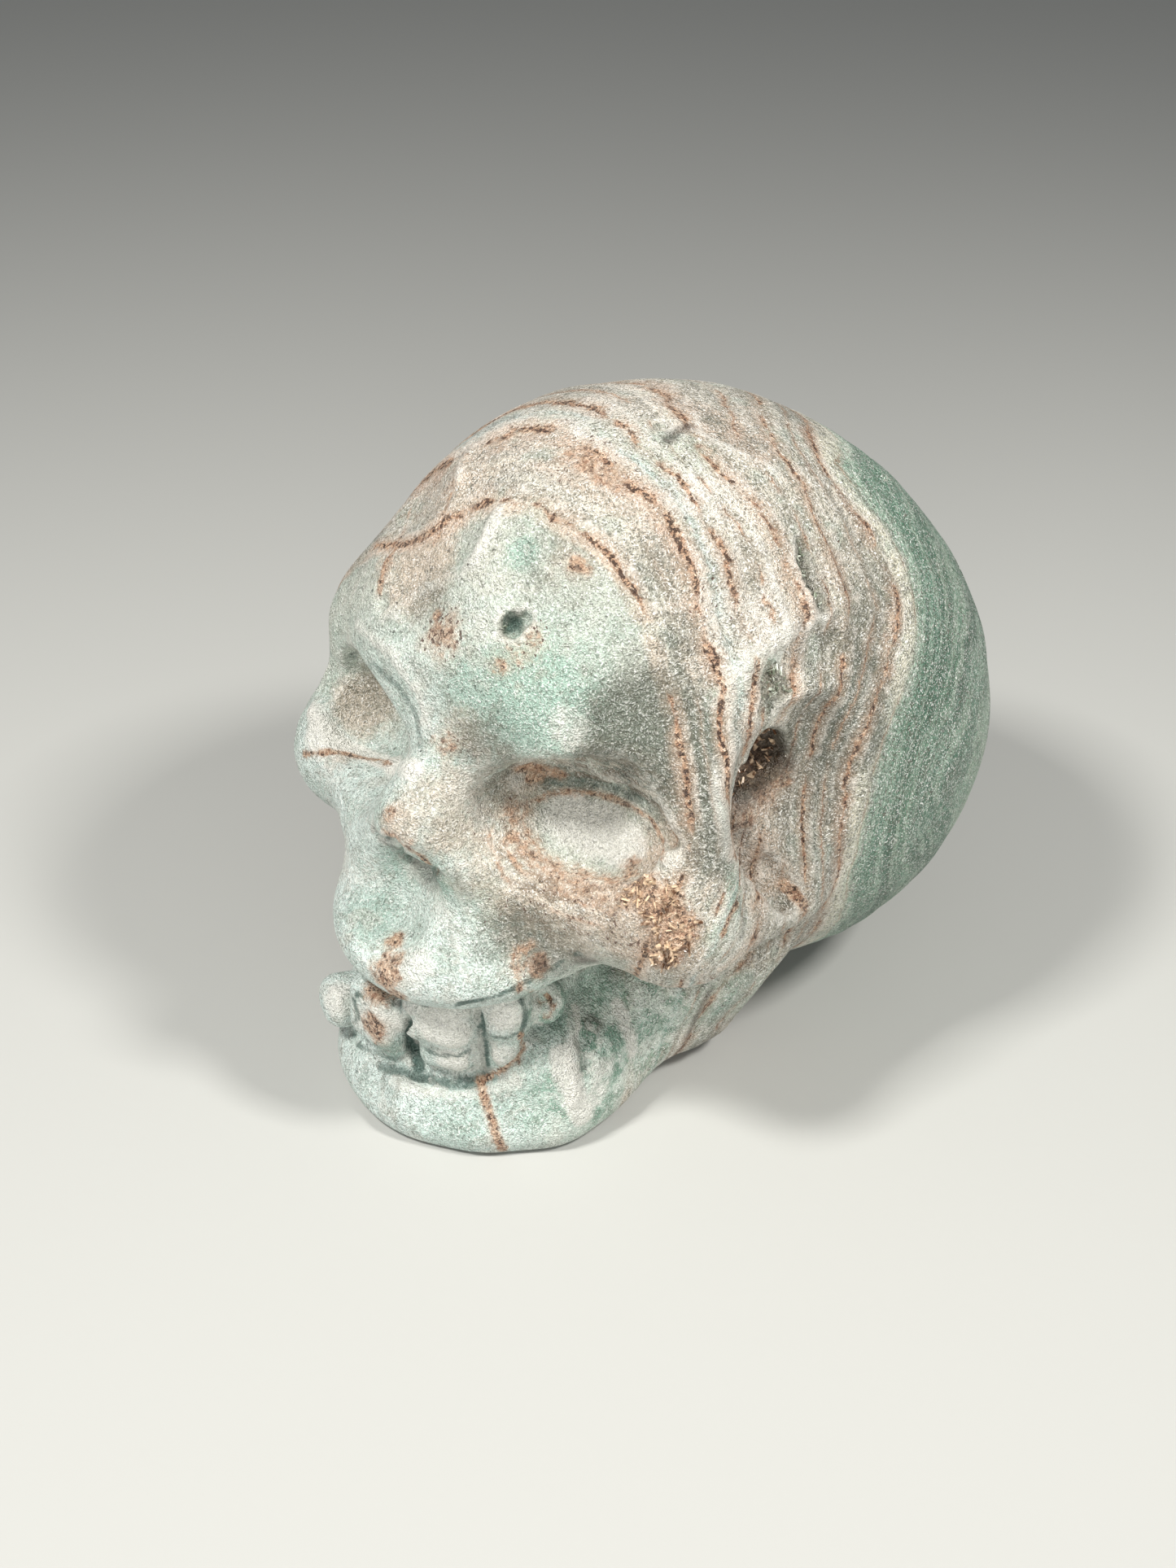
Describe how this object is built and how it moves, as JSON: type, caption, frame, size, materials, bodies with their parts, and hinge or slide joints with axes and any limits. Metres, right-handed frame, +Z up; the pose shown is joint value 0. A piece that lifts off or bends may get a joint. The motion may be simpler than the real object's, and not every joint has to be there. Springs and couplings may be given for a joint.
{
  "type": "stone skull carving",
  "caption": "Small human skull carved from one piece of banded pale stone, resting on the flat underside of its jaw and the back of the head.",
  "frame": {"origin": "on the table under the middle of the carving's length and width", "axes": "+Z up, the face looks along -Y, +X is the skull's own left"},
  "size_m": [0.0744, 0.1014, 0.0822],
  "materials": {
    "banded_stone": "satin, sugary crystal grain"
  },
  "bodies": {
    "root": {"skull_carving": "banded_stone"}
  },
  "joints": []
}
